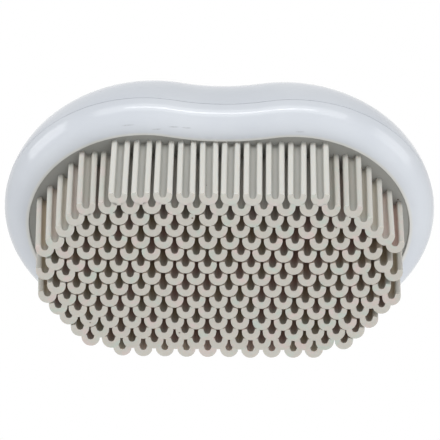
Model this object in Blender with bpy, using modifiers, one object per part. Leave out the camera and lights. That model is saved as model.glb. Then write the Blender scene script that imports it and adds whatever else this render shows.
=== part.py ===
"""Upholstery brush: a palm housing in two shells round a pad of U-channel bristles.

Metres, +Z up. The brush stands on its bristle tips at z = 0, with its domed
cover on top. +X runs along its length, and the waist of its bean outline is
on the -Y side. The origin is below the middle of the housing.
"""
import math

import bmesh
import bpy

# Opening of the bezel, a bean outline made of tangent arcs
LOBE_RADIUS = 0.03565
LOBE_SPREAD = 0.02201
WAIST_DEPTH = 0.00213
CORNER_RADIUS = 0.0381
FAR_CROWN = 0.0011

# Clearances between pieces
FIT_GAP = 0.0003
OVERRUN = 0.0010
MERGE_DISTANCE = 0.000001

# Bristle pad
BRISTLE_LENGTH = 0.0240
BRISTLE_WIDTH = 0.0055
BRISTLE_DEPTH = 0.0041
BRISTLE_GAP = 0.00104
ROW_GAP = 0.00044
FIRST_ROW_SETBACK = 0.0005
CHANNEL_WIDTH = 0.0023
CHANNEL_DEPTH = 0.0015
CHANNEL_FLOOR_SHARE = 0.7
BRISTLE_MARGIN = 0.0004
ROOT_DEPTH = 0.0006
MAT_THICKNESS = 0.0020
MAT_RECESS = 0.0009

# Backing plate, whose ridge snaps into a groove round the bezel's opening
PLATE_THICKNESS = 0.0020
SNAP_DEPTH = 0.0006

# Bezel
BEZEL_WIDTH = 0.0078
BEZEL_DEPTH = 0.0082
LIP_RADIUS = 0.0008
EDGE_BREAK = 0.0003
POCKET_FLOOR = 0.0034
POCKET_SHARE = 0.45
FLANGE_EDGE = 0.0016
SEAT_WEB = 0.0012

# Tongue of the bezel, which centres the cover
TONGUE_HEIGHT = 0.0018
TONGUE_THICKNESS = 0.0012

# Top cover
COVER_RISE = 0.0270
COVER_WALL = 0.0024
RIM_WALL = 0.0018
DOME_POWER = 2.6
DOME_BASE_SHARE = 0.998

# Screws, and the bosses of the cover that take them
SCREW_RADIUS = 0.0015
SCREW_LENGTH = 0.0100
SCREW_TIP = 0.0018
HEAD_OVERHANG = 0.0011
HEAD_HEIGHT = 0.0013
BOSS_WALL = 0.0018
SCREW_ANGLES = (0.0, 62.0, 118.0, 180.0, 242.0, 298.0)

# Points round each arc of the outline, and on the round forms
LOBE_STEPS = 14
CORNER_STEPS = 12
WAIST_STEPS = 4
CROWN_STEPS = 4
LIP_STEPS = 2
BEZEL_STEPS = 7
DOME_STEPS = 9
HOLE_SIDES = 16
SCREW_SIDES = 12
BACK_CORNERS = 4
SHARP_ANGLE = math.radians(35)

# Colours
HOUSING_COLOUR = (0.66, 0.70, 0.75, 1.0)
RUBBER_COLOUR = (0.50, 0.48, 0.44, 1.0)
PLATE_COLOUR = (0.30, 0.31, 0.32, 1.0)
STEEL_COLOUR = (0.55, 0.55, 0.56, 1.0)

# Sizes that follow from the bristles' and the screws' own
BRISTLE_PITCH = BRISTLE_WIDTH + BRISTLE_GAP
ROW_PITCH = BRISTLE_DEPTH + ROW_GAP
HOLE_RADIUS = SCREW_RADIUS + FIT_GAP
BOSS_RADIUS = HOLE_RADIUS + BOSS_WALL
HEAD_RADIUS = SCREW_RADIUS + HEAD_OVERHANG
COUNTERBORE_RADIUS = HEAD_RADIUS + FIT_GAP
COUNTERBORE_DEPTH = HEAD_HEIGHT + FIT_GAP
FLANGE_REACH = 2 * (COUNTERBORE_RADIUS + FLANGE_EDGE)
FLANGE_THICKNESS = COUNTERBORE_DEPTH + SEAT_WEB

# Levels, from the bristle tips up
MAT_FACE_Z = BRISTLE_LENGTH
LIP_Z = MAT_FACE_Z - MAT_RECESS
MAT_BACK_Z = MAT_FACE_Z + MAT_THICKNESS
PLATE_Z = MAT_BACK_Z + FIT_GAP
PLATE_TOP_Z = PLATE_Z + PLATE_THICKNESS
FLANGE_Z = PLATE_TOP_Z + FIT_GAP
FLANGE_TOP_Z = FLANGE_Z + FLANGE_THICKNESS
PARTING_Z = LIP_Z + BEZEL_DEPTH
COVER_Z = PARTING_Z + FIT_GAP
SNAP_Z = PLATE_Z + PLATE_THICKNESS / 2

# The outline's lobe line lies this far from the middle of the housing's width
LOBE_LINE_Y = (LOBE_RADIUS - CORNER_RADIUS - FAR_CROWN) / 2


def arc(centre_x, centre_y, radius, start, end, steps):
    """Return the points of an arc, without its last one."""
    points = []
    for step in range(steps):
        angle = start + (end - start) * step / steps
        x = centre_x + radius * math.cos(angle)
        y = centre_y + radius * math.sin(angle)
        points.append((x, LOBE_LINE_Y + y))
    return points


def outline(offset):
    """Return the bean outline, parallel to the opening's edge and outside it by offset."""
    # The waist arc is tangent to both near lobes, and bulges into the opening
    waist_y = LOBE_RADIUS - WAIST_DEPTH
    waist_radius = (LOBE_SPREAD**2 + waist_y**2 - LOBE_RADIUS**2) / (2 * WAIST_DEPTH)
    waist_centre = -waist_y - waist_radius
    waist_half = math.atan2(LOBE_SPREAD, -waist_centre)
    # The far corners meet the near lobes at the ends, where both run straight across
    corner_x = LOBE_SPREAD + LOBE_RADIUS - CORNER_RADIUS
    # The crown arc is tangent to both corners, and rises FAR_CROWN above them
    crown_extra = (corner_x**2 + FAR_CROWN**2) / (2 * FAR_CROWN)
    crown_half = math.asin(corner_x / crown_extra)
    crown_centre = FAR_CROWN - crown_extra
    quarter = math.pi / 2
    corner = CORNER_RADIUS + offset
    lobe = LOBE_RADIUS + offset
    crown = CORNER_RADIUS + crown_extra + offset
    points = arc(corner_x, 0, corner, 0, quarter - crown_half, CORNER_STEPS)
    points += arc(0, crown_centre, crown, quarter - crown_half, quarter + crown_half, CROWN_STEPS)
    points += arc(-corner_x, 0, corner, quarter + crown_half, 2 * quarter, CORNER_STEPS)
    points += arc(-LOBE_SPREAD, 0, lobe, 2 * quarter, 3 * quarter + waist_half, LOBE_STEPS)
    points += arc(0, waist_centre, waist_radius - offset,
                  quarter + waist_half, quarter - waist_half, WAIST_STEPS)
    points += arc(LOBE_SPREAD, 0, lobe, 3 * quarter - waist_half, 4 * quarter, LOBE_STEPS)
    return points


def place_on_outline(angle, offset):
    """Return the point of the outline whose outward direction has this angle in degrees."""
    turn = math.radians(angle)
    far_side = math.sin(turn) > 0
    radius = (CORNER_RADIUS if far_side else LOBE_RADIUS) + offset
    centre_x = LOBE_SPREAD + LOBE_RADIUS - CORNER_RADIUS if far_side else LOBE_SPREAD
    side = 1 if math.cos(turn) > 0 else -1
    return side * centre_x + radius * math.cos(turn), LOBE_LINE_Y + radius * math.sin(turn)


def is_inside(point, polygon):
    """Say whether a point lies inside a closed polygon."""
    inside = False
    for (x0, y0), (x1, y1) in zip(polygon, polygon[1:] + polygon[:1]):
        if (y0 > point[1]) != (y1 > point[1]):
            crossing = x0 + (point[1] - y0) * (x1 - x0) / (y1 - y0)
            if point[0] < crossing:
                inside = not inside
    return inside


def new_collection(name):
    """Add a collection to the scene and return it."""
    collection = bpy.data.collections.new(name)
    bpy.context.scene.collection.children.link(collection)
    return collection


def new_material(name, colour, roughness, metallic):
    """Return a material with one Principled BSDF."""
    material = bpy.data.materials.new(name)
    material.use_nodes = True
    shader = material.node_tree.nodes["Principled BSDF"]
    shader.inputs["Base Color"].default_value = colour
    shader.inputs["Roughness"].default_value = roughness
    shader.inputs["Metallic"].default_value = metallic
    material.diffuse_color = colour
    return material


def add_object(name, mesh, collection, material=None):
    """Link a mesh to a collection as a new object."""
    thing = bpy.data.objects.new(name, mesh)
    collection.objects.link(thing)
    if material:
        mesh.materials.clear()
        mesh.materials.append(material)
    return thing


def hide_as_cutter(thing):
    """Show a cutting body as wire only."""
    thing.hide_render = True
    thing.display_type = "WIRE"


def shade_round(thing):
    """Shade the round faces of a mesh smooth, and keep its corners sharp."""
    thing.data.shade_smooth()
    thing.data.set_sharp_from_angle(angle=SHARP_ANGLE)


def finish_bmesh(body, name):
    """Turn a closed bmesh's faces outward and return it as a mesh."""
    bmesh.ops.recalc_face_normals(body, faces=body.faces)
    mesh = bpy.data.meshes.new(name)
    body.to_mesh(mesh)
    body.free()
    return mesh


def loop_at(offset, height):
    """Return the outline, moved outward by offset, as points at a height."""
    return [(x, y, height) for x, y in outline(offset)]


def scaled_loop(points, scale, height):
    """Return a loop drawn in towards the middle by a scale, at a height."""
    return [(x * scale, y * scale, height) for x, y, _ in points]


def loft_ring(name, profile, collection, material=None):
    """Loft a closed section round the outline: profile lists (offset, height) pairs."""
    body = bmesh.new()
    loops = [[body.verts.new(point) for point in loop_at(*place)] for place in profile]
    for first, second in zip(loops, loops[1:] + loops[:1]):
        bridge(body, first, second)
    return add_object(name, finish_bmesh(body, name), collection, material)


def loft_solid(name, sections, collection, material=None, top=None):
    """Loft a closed body through loops of points, from its flat foot up.

    It ends in a point where top gives one, or else in a flat face.
    """
    body = bmesh.new()
    loops = [[body.verts.new(point) for point in section] for section in sections]
    for lower, upper in zip(loops, loops[1:]):
        bridge(body, lower, upper)
    body.faces.new(loops[0])
    last = loops[-1]
    if top is None:
        body.faces.new(last)
    else:
        peak = body.verts.new(top)
        for start, end in zip(last, last[1:] + last[:1]):
            body.faces.new((start, end, peak))
    return add_object(name, finish_bmesh(body, name), collection, material)


def bridge(body, first, second):
    """Join two loops of the same number of points with a band of faces."""
    count = len(first)
    for index in range(count):
        after = (index + 1) % count
        body.faces.new((first[index], first[after], second[after], second[index]))


def extrude_outlines(name, outlines, low, high, collection, material=None):
    """Make flat outlines into bodies that stand between two heights."""
    curve = bpy.data.curves.new(name, "CURVE")
    curve.dimensions = "2D"
    curve.fill_mode = "BOTH"
    curve.extrude = (high - low) / 2
    for points in outlines:
        spline = curve.splines.new("POLY")
        spline.points.add(len(points) - 1)
        for place, (x, y) in zip(spline.points, points):
            place.co = (x, y, 0, 1)
        spline.use_cyclic_u = True
    thing = bpy.data.objects.new(name, curve)
    thing.location = (0, 0, (low + high) / 2)
    collection.objects.link(thing)
    return curve_to_mesh(thing, collection, material)


def curve_to_mesh(thing, collection, material):
    """Replace a curve object by a closed mesh object in the same place."""
    name = thing.name
    bpy.context.view_layer.update()
    evaluated = thing.evaluated_get(bpy.context.evaluated_depsgraph_get())
    mesh = bpy.data.meshes.new_from_object(evaluated)
    placing = thing.matrix_world.copy()
    bpy.data.objects.remove(thing)
    body = bmesh.new()
    body.from_mesh(mesh)
    bmesh.ops.remove_doubles(body, verts=body.verts, dist=MERGE_DISTANCE)
    bmesh.ops.recalc_face_normals(body, faces=body.faces)
    body.to_mesh(mesh)
    body.free()
    solid = add_object(name, mesh, collection, material)
    solid.matrix_world = placing
    return solid


def add_cylinder(name, radius, x, y, low, high, collection):
    """Add an upright cylinder between two heights."""
    body = bmesh.new()
    bmesh.ops.create_cone(body, cap_ends=True, segments=HOLE_SIDES,
                          radius1=radius, radius2=radius, depth=high - low)
    thing = add_object(name, finish_bmesh(body, name), collection)
    thing.location = (x, y, (low + high) / 2)
    return thing


def apply_boolean(target, tool, operation):
    """Add an exact Boolean modifier to a body."""
    change = target.modifiers.new(tool.name, "BOOLEAN")
    change.operation = operation
    change.object = tool
    change.solver = "EXACT"


def dome_sections(rim_offset, rise):
    """Return the loops of a superelliptic dome that stands on the cover's rim level.

    That level lies a little above the dome's widest section, so its wall
    leans inward there.
    """
    rim = loop_at(rim_offset, COVER_Z)
    base = (1 - DOME_BASE_SHARE**DOME_POWER) ** (1 / DOME_POWER)
    first_angle = math.asin(base ** (DOME_POWER / 2))
    loops = []
    for step in range(DOME_STEPS):
        angle = first_angle + (math.pi / 2 - first_angle) * step / DOME_STEPS
        width = math.cos(angle) ** (2 / DOME_POWER) / DOME_BASE_SHARE
        height = (math.sin(angle) ** (2 / DOME_POWER) - base) / (1 - base)
        loops.append(scaled_loop(rim, width, COVER_Z + rise * height))
    return loops


def bezel_profile():
    """Return the section of the bezel, as (offset from the opening, height) pairs."""
    profile = []
    # Rounded inner edge of the lip
    for step in range(LIP_STEPS + 1):
        angle = math.pi / 2 * step / LIP_STEPS
        profile.append((LIP_RADIUS * (1 - math.cos(angle)),
                        LIP_Z + LIP_RADIUS * (1 - math.sin(angle))))
    # Bullnose, a quarter ellipse from the lip to the parting line
    width = BEZEL_WIDTH - LIP_RADIUS
    for step in range(1, BEZEL_STEPS + 1):
        angle = math.pi / 2 * step / BEZEL_STEPS
        depth = max(BEZEL_DEPTH * math.cos(angle), EDGE_BREAK)
        profile.append((LIP_RADIUS + width * math.sin(angle), PARTING_Z - depth))
    # Parting face, tongue, and the open pocket behind it
    tongue_outer = BEZEL_WIDTH - RIM_WALL - FIT_GAP
    tongue_inner = tongue_outer - TONGUE_THICKNESS
    pocket_inner = tongue_inner * (1 - POCKET_SHARE)
    tongue_top = PARTING_Z + TONGUE_HEIGHT
    profile.append((BEZEL_WIDTH - EDGE_BREAK, PARTING_Z))
    profile.append((tongue_outer, PARTING_Z))
    profile.append((tongue_outer, tongue_top))
    profile.append((tongue_inner, tongue_top))
    profile.append((tongue_inner, LIP_Z + POCKET_FLOOR))
    profile.append((pocket_inner, LIP_Z + POCKET_FLOOR))
    # Flange that lies behind the pad and its plate
    profile.append((pocket_inner, FLANGE_TOP_Z))
    profile.append((-FLANGE_REACH, FLANGE_TOP_Z))
    profile.append((-FLANGE_REACH, FLANGE_Z))
    # Wall of the opening, with the groove for the plate's ridge
    groove_half = SNAP_DEPTH + FIT_GAP
    profile.append((0, FLANGE_Z))
    profile.append((0, SNAP_Z + groove_half))
    profile.append((SNAP_DEPTH, SNAP_Z))
    profile.append((0, SNAP_Z - groove_half))
    return profile


def screw_places():
    """Return the centres of the screws, on the middle line of the bezel's flange."""
    return [place_on_outline(angle, -FLANGE_REACH / 2) for angle in SCREW_ANGLES]


def build_bezel(parts, cutters, material):
    """Model the lower shell, with its holes for the screws."""
    bezel = loft_ring("bezel", bezel_profile(), parts, material)
    for number, (x, y) in enumerate(screw_places(), 1):
        hole = add_cylinder(f"cut_hole_{number}", HOLE_RADIUS, x, y,
                            FLANGE_Z - OVERRUN, FLANGE_TOP_Z + OVERRUN, cutters)
        seat = add_cylinder(f"cut_seat_{number}", COUNTERBORE_RADIUS, x, y,
                            FLANGE_Z - OVERRUN, FLANGE_Z + COUNTERBORE_DEPTH, cutters)
        for tool in (hole, seat):
            hide_as_cutter(tool)
            apply_boolean(bezel, tool, "DIFFERENCE")
    shade_round(bezel)


def build_cover(parts, cutters, material):
    """Model the domed upper shell: its wall, rim, and screw bosses."""
    peak = (0, 0, COVER_Z + COVER_RISE)
    cover = loft_solid("top_cover", dome_sections(BEZEL_WIDTH, COVER_RISE), parts, material, peak)
    # The hollow is a smaller dome, wider at its foot where the bezel's tongue stands in it
    hollow_offset = BEZEL_WIDTH - COVER_WALL
    hollow_rise = COVER_RISE - COVER_WALL
    sections = [loop_at(hollow_offset, COVER_Z - OVERRUN)]
    sections += dome_sections(hollow_offset, hollow_rise)
    hollow_peak = (0, 0, COVER_Z + hollow_rise)
    hollow = loft_solid("cut_hollow", sections, cutters, top=hollow_peak)
    rim = extrude_outlines("cut_rim", [outline(BEZEL_WIDTH - RIM_WALL)], COVER_Z - 2 * OVERRUN,
                           PARTING_Z + TONGUE_HEIGHT + FIT_GAP, cutters)
    apply_boolean(hollow, rim, "UNION")
    hide_as_cutter(rim)
    hide_as_cutter(hollow)
    boss_foot = FLANGE_TOP_Z + FIT_GAP
    screw_top = FLANGE_Z + COUNTERBORE_DEPTH + SCREW_LENGTH
    for number, (x, y) in enumerate(screw_places(), 1):
        boss = add_cylinder(f"keep_boss_{number}", BOSS_RADIUS, x, y,
                            boss_foot, COVER_Z + COVER_RISE, cutters)
        hide_as_cutter(boss)
        apply_boolean(hollow, boss, "DIFFERENCE")
    apply_boolean(cover, hollow, "DIFFERENCE")
    for number, (x, y) in enumerate(screw_places(), 1):
        pilot = add_cylinder(f"cut_pilot_{number}", HOLE_RADIUS, x, y,
                             boss_foot - OVERRUN, screw_top + FIT_GAP, cutters)
        hide_as_cutter(pilot)
        apply_boolean(cover, pilot, "DIFFERENCE")
    shade_round(cover)


def bristle_section(x, y):
    """Return the U section of a bristle whose open front is centred at x, y."""
    half = BRISTLE_WIDTH / 2
    bend_y = BRISTLE_DEPTH - half
    # Flats that touch a half circle, so that the section keeps its full width
    corner_radius = half / math.cos(math.pi / (2 * BACK_CORNERS))
    points = [(half, 0)]
    for step in range(BACK_CORNERS):
        angle = math.pi * (step + 1 / 2) / BACK_CORNERS
        points.append((corner_radius * math.cos(angle), bend_y + corner_radius * math.sin(angle)))
    channel = CHANNEL_WIDTH / 2
    floor = channel * CHANNEL_FLOOR_SHARE
    points += [(-half, 0), (-channel, 0), (-floor, CHANNEL_DEPTH), (floor, CHANNEL_DEPTH), (channel, 0)]
    return [(x + px, y + py) for px, py in points]


def bristle_places():
    """Return the front centres of all bristles, in staggered rows that fill the opening."""
    room = outline(-BRISTLE_MARGIN)
    low = LOBE_LINE_Y - LOBE_RADIUS + WAIST_DEPTH + FIRST_ROW_SETBACK
    rows = int((2 * CORNER_RADIUS) / ROW_PITCH) + 1
    columns = int((LOBE_SPREAD + LOBE_RADIUS) / BRISTLE_PITCH) + 1
    places = []
    for row in range(rows):
        y = low + ROW_PITCH * row
        # Rows stand half a pitch to the side of their neighbours
        shift = BRISTLE_PITCH / 2 if row % 2 == 0 else 0
        for column in range(-columns, columns + 1):
            x = column * BRISTLE_PITCH + shift
            if all(is_inside(point, room) for point in bristle_section(x, y)):
                places.append((x, y))
    return places


def build_pad(parts, cutters, material):
    """Model the soft pad: its mat, fused with all the bristles."""
    pad = extrude_outlines("bristle_pad", [outline(-FIT_GAP)],
                           MAT_FACE_Z, MAT_BACK_Z, parts, material)
    sections = [bristle_section(x, y) for x, y in bristle_places()]
    bristles = extrude_outlines("bristles", sections, 0, MAT_FACE_Z + ROOT_DEPTH, cutters)
    hide_as_cutter(bristles)
    apply_boolean(pad, bristles, "UNION")
    print("bristles:", len(sections))


def build_plate(parts, material):
    """Model the stiff plate that backs the pad, with the ridge round its edge."""
    edge = [(-FIT_GAP, PLATE_Z), (-FIT_GAP, SNAP_Z - SNAP_DEPTH), (SNAP_DEPTH - FIT_GAP, SNAP_Z),
            (-FIT_GAP, SNAP_Z + SNAP_DEPTH), (-FIT_GAP, PLATE_TOP_Z)]
    sections = [loop_at(*place) for place in edge]
    loft_solid("backing_plate", sections, parts, material)


def build_screws(parts, material):
    """Model the screws, which share one turned mesh."""
    under_head = FLANGE_Z + COUNTERBORE_DEPTH - FIT_GAP
    profile = [(0, SCREW_LENGTH), (SCREW_RADIUS, SCREW_LENGTH - SCREW_TIP), (SCREW_RADIUS, 0),
               (HEAD_RADIUS, 0), (HEAD_RADIUS, -HEAD_HEIGHT + EDGE_BREAK),
               (HEAD_RADIUS - EDGE_BREAK, -HEAD_HEIGHT), (0, -HEAD_HEIGHT)]
    mesh = bpy.data.meshes.new("screw")
    edges = [(index, index + 1) for index in range(len(profile) - 1)]
    mesh.from_pydata([(x, 0, z) for x, z in profile], edges, [])
    mesh.materials.append(material)
    for number, (x, y) in enumerate(screw_places(), 1):
        screw = bpy.data.objects.new(f"screw_{number}", mesh)
        screw.location = (x, y, under_head)
        parts.objects.link(screw)
        turn = screw.modifiers.new("turn", "SCREW")
        turn.steps = SCREW_SIDES
        turn.render_steps = SCREW_SIDES
        turn.use_merge_vertices = True
        turn.merge_threshold = MERGE_DISTANCE
        turn.use_smooth_shade = False


def main():
    """Model the whole brush."""
    for thing in list(bpy.data.objects):
        bpy.data.objects.remove(thing)
    parts = new_collection("upholstery_brush")
    cutters = new_collection("cutters")
    housing = new_material("gloss_white_plastic", HOUSING_COLOUR, 0.22, 0.0)
    cover_housing = new_material("gloss_white_cover", HOUSING_COLOUR, 0.22, 0.0)
    rubber = new_material("soft_grey_rubber", RUBBER_COLOUR, 0.60, 0.0)
    plate = new_material("grey_plate_plastic", PLATE_COLOUR, 0.50, 0.0)
    steel = new_material("zinc_steel", STEEL_COLOUR, 0.35, 1.0)
    build_cover(parts, cutters, cover_housing)
    build_bezel(parts, cutters, housing)
    build_plate(parts, plate)
    build_pad(parts, cutters, rubber)
    build_screws(parts, steel)


main()
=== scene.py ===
"""Upholstery brush: its looks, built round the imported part.

Metres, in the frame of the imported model: +Z up, the bristle tips on z = 0, and the
waist of the bean outline on the -Y side. The housing's two shells and the soft pad are
modelled anew over their solids. The backing plate and the screws keep their own
meshes and get finishes.
"""
import logging
import math
import random
from contextlib import contextmanager
from dataclasses import dataclass, replace
from enum import Enum
from typing import Callable, Iterator

import bmesh
import bpy
from mathutils import Matrix, Quaternion, Vector


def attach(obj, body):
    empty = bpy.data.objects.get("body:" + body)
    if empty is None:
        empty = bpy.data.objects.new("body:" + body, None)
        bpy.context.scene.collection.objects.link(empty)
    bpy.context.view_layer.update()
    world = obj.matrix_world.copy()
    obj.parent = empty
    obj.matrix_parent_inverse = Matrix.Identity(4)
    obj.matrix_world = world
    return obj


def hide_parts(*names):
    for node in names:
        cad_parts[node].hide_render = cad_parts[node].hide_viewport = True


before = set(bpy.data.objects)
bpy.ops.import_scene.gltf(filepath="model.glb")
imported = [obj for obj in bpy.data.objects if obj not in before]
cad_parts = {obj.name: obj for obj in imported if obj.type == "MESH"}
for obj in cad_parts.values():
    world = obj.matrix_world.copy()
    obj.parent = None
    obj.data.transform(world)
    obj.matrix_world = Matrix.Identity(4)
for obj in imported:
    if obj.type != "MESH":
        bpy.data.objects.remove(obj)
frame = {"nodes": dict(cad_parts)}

Flat = tuple[float, float]
Point = tuple[float, float, float]
Colour = tuple[float, float, float, float]
Piece = bpy.types.Object
Socket = bpy.types.NodeSocket

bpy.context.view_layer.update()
BODY = "root"
FRAME_PIXELS = 440
MILLIMETRE = 0.001
SEAM_MERGE = 1e-6
LOOP_REACH = 3e-6
QUARTER_TURN = math.pi / 2
ONE_OCTAVE, TWO_OCTAVES, THREE_OCTAVES = 1.0, 2.0, 3.0
NOISE_MIDDLE = 0.5
WHOLE_RANGE = (0.0, 1.0)
FALLING_RANGE = (1.0, 0.0)

log = logging.getLogger("upholstery_brush")


class Slot(Enum):
    """Material slots of the record; nothing in the script uses them."""

    COVER = "cover_plastic"
    BEZEL = "bezel_plastic"
    PAD = "pad_rubber"


class Paint(Enum):
    """Values that the vertices carry for the finishes, painted light and shade among
    them.
    """

    EDGE = "lip_painted_highlight"
    TONE = "bristle_tone"
    SHADE = "bristle_shade"
    PAINTED_LIGHT = "bristle_painted_light"
    CHANNEL_SHADE = "bristle_channel_shade"


# Modelling


class Bench:
    """The modelling steps that the pieces share."""

    @staticmethod
    def clear_selection() -> None:
        """Leave edit mode, and deselect every object."""
        if bpy.context.object and bpy.context.object.mode != "OBJECT":
            bpy.ops.object.mode_set(mode="OBJECT")
        bpy.ops.object.select_all(action="DESELECT")

    @staticmethod
    def pick(*pieces: Piece) -> None:
        """Make some objects the only selected ones, and the first of them active.

        Args:
            pieces: The objects to pick.
        """
        Bench.clear_selection()
        for piece in pieces:
            piece.select_set(True)
        bpy.context.view_layer.objects.active = pieces[0]

    @staticmethod
    @contextmanager
    def editing(piece: Piece, element: str = "VERT") -> Iterator[None]:
        """Hold an object in edit mode for the length of a with block.

        Args:
            piece: The object to edit.
            element: The kind of element that is selected: VERT, EDGE or FACE.
        """
        Bench.pick(piece)
        bpy.ops.object.mode_set(mode="EDIT")
        bpy.ops.mesh.select_mode(type=element)
        yield
        bpy.ops.object.mode_set(mode="OBJECT")

    @staticmethod
    def select_all() -> None:
        """Select the whole mesh, in edit mode."""
        bpy.ops.mesh.select_all(action="SELECT")

    @staticmethod
    def weld() -> None:
        """Merge the vertices that meet, and select the whole mesh, in edit mode."""
        Bench.select_all()
        bpy.ops.mesh.remove_doubles(threshold=SEAM_MERGE)
        Bench.select_all()

    @staticmethod
    @contextmanager
    def drawing(name: str, points: list[Point]) -> Iterator[Piece]:
        """Extrude a single vertex along a chain of points, and stay in edit mode.

        Args:
            name: The new piece's name.
            points: The chain.

        Yields:
            The new object, at the origin, with the whole chain selected.
        """
        Bench.clear_selection()
        bpy.ops.mesh.primitive_plane_add(size=MILLIMETRE)
        piece = bpy.context.object
        piece.name = piece.data.name = name
        with Bench.editing(piece):
            Bench.select_all()
            bpy.ops.mesh.merge(type="CENTER")
            bpy.ops.transform.translate(value=points[0])
        with Bench.editing(piece):
            Bench.select_all()
            for start, end in zip(points, points[1:]):
                step = Vector(end) - Vector(start)
                bpy.ops.mesh.extrude_vertices_move(
                    TRANSFORM_OT_translate={"value": step}
                )
            Bench.select_all()
            yield piece

    @staticmethod
    def fill_and_raise(height: float) -> None:
        """Fill the selected flat outline, and extrude its face upward, in edit mode.

        Args:
            height: How high the solid gets.
        """
        bpy.ops.mesh.edge_face_add()
        Bench.select_all()
        bpy.ops.mesh.extrude_region_move(
            TRANSFORM_OT_translate={"value": (0, 0, height)}
        )

    @staticmethod
    def select_edges(piece: Piece, test: Callable[[Vector], bool]) -> int:
        """Select the edges whose two ends pass a test, in edit mode.

        Args:
            piece: The object in edit mode.
            test: Takes an end's place, and says whether it is wanted.

        Returns:
            How many were selected.
        """
        bpy.ops.mesh.select_all(action="DESELECT")
        body = bmesh.from_edit_mesh(piece.data)
        chosen = [
            edge for edge in body.edges if all(test(vert.co) for vert in edge.verts)
        ]
        for edge in chosen:
            edge.select_set(True)
        body.select_flush_mode()
        bmesh.update_edit_mesh(piece.data)
        return len(chosen)

    @staticmethod
    def close_seams(piece: Piece) -> None:
        """Merge the vertices that meet at seams and poles, and turn the faces outward.

        Args:
            piece: The object to close.
        """
        with Bench.editing(piece):
            Bench.weld()
            bpy.ops.mesh.normals_make_consistent(inside=False)

    @staticmethod
    def smooth(piece: Piece, sharp_deg: float) -> None:
        """Shade a piece smooth, with the corners above an angle kept sharp."""
        Bench.pick(piece)
        bpy.ops.object.shade_smooth_by_angle(angle=math.radians(sharp_deg))

    @staticmethod
    def join(name: str, pieces: list[Piece]) -> Piece:
        """Join several objects into one.

        Args:
            name: The name of the result.
            pieces: The objects. The first one stays.

        Returns:
            The joined object.
        """
        Bench.pick(*pieces)
        bpy.ops.object.join()
        pieces[0].name = pieces[0].data.name = name
        return pieces[0]

    @staticmethod
    def paint(piece: Piece, kind: Paint, values: list[float]) -> None:
        """Write one value to each vertex of a piece, in the order of the vertices."""
        layer = piece.data.attributes.new(kind.value, "FLOAT", "POINT")
        layer.data.foreach_set("value", values)

    @staticmethod
    def dress(piece: Piece, material: bpy.types.Material) -> None:
        """Give a piece one material."""
        piece.data.materials.clear()
        piece.data.materials.append(material)


@dataclass(frozen=True)
class Bend:
    """One arc of an outline.

    Attributes:
        centre: The arc's centre.
        turn: Its angle in radians, counterclockwise positive.
        steps: The facets along it.
    """

    centre: Flat
    turn: float
    steps: int


@dataclass(frozen=True)
class BeanOutline:
    """Edge of the bezel's opening: a bean made of six tangent arcs."""

    lobe_radius: float = 0.03565
    lobe_spread: float = 0.02201
    waist_depth: float = 0.00213
    corner_radius: float = 0.0381
    far_crown: float = 0.0011
    lobe_steps: int = 26
    corner_steps: int = 24
    waist_steps: int = 12
    crown_steps: int = 14

    @property
    def middle_y(self) -> float:
        """Where the line through the lobes' centres lies."""
        return (self.lobe_radius - self.corner_radius - self.far_crown) / 2

    @property
    def end_x(self) -> float:
        """How far the outline reaches along X."""
        return self.lobe_spread + self.lobe_radius

    @property
    def near_y(self) -> float:
        """Where the waist's middle lies."""
        return self.middle_y - self.lobe_radius + self.waist_depth

    def bends(self) -> list[Bend]:
        """Work out the arcs from the bean's sizes.

        Returns:
            The arcs, counterclockwise from the right end.
        """
        waist_y = self.lobe_radius - self.waist_depth
        waist_radius = (
            self.lobe_spread**2 + waist_y**2 - self.lobe_radius**2
        ) / (2 * self.waist_depth)
        waist_centre = -waist_y - waist_radius
        waist_half = math.atan2(self.lobe_spread, -waist_centre)
        corner_x = self.end_x - self.corner_radius
        crown_extra = (corner_x**2 + self.far_crown**2) / (2 * self.far_crown)
        crown_half = math.asin(corner_x / crown_extra)
        crown_centre = self.far_crown - crown_extra
        y = self.middle_y
        corner_turn = QUARTER_TURN - crown_half
        lobe_turn = QUARTER_TURN + waist_half
        return [
            Bend((corner_x, y), corner_turn, self.corner_steps),
            Bend((0, y + crown_centre), 2 * crown_half, self.crown_steps),
            Bend((-corner_x, y), corner_turn, self.corner_steps),
            Bend((-self.lobe_spread, y), lobe_turn, self.lobe_steps),
            Bend((0, y + waist_centre), -2 * waist_half, self.waist_steps),
            Bend((self.lobe_spread, y), lobe_turn, self.lobe_steps),
        ]

    def sweep(self, name: str, section: list[Flat], thickness: float = 0.0) -> Piece:
        """Spin a section once round the outline.

        Args:
            name: The new piece's name.
            section: Its points as (offset from the opening, height) pairs.
            thickness: How thick the filled outline gets, or 0 to leave it unfilled.

        Returns:
            The new object.
        """
        chain = [(self.end_x + offset, self.middle_y, z) for offset, z in section]
        with Bench.drawing(name, chain) as piece:
            Bench.weld()
            for bend in self.bends():
                centre = (*bend.centre, 0)
                bpy.ops.mesh.spin(
                    steps=bend.steps, angle=-bend.turn, center=centre, axis=(0, 0, 1)
                )
            Bench.weld()
            if thickness:
                Bench.fill_and_raise(thickness)
        return piece

    def points(self, offset: float) -> list[Flat]:
        """Return the outline's points, moved outward by an offset.

        Args:
            offset: How far outside the opening's edge they lie.

        Returns:
            The points, without the last one, which is the first again.
        """
        place = Vector((self.end_x + offset, self.middle_y))
        found = []
        for bend in self.bends():
            centre = Vector(bend.centre)
            turn = Matrix.Rotation(bend.turn / bend.steps, 2)
            for _ in range(bend.steps):
                found.append((place.x, place.y))
                place = centre + turn @ (place - centre)
        return found


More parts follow.
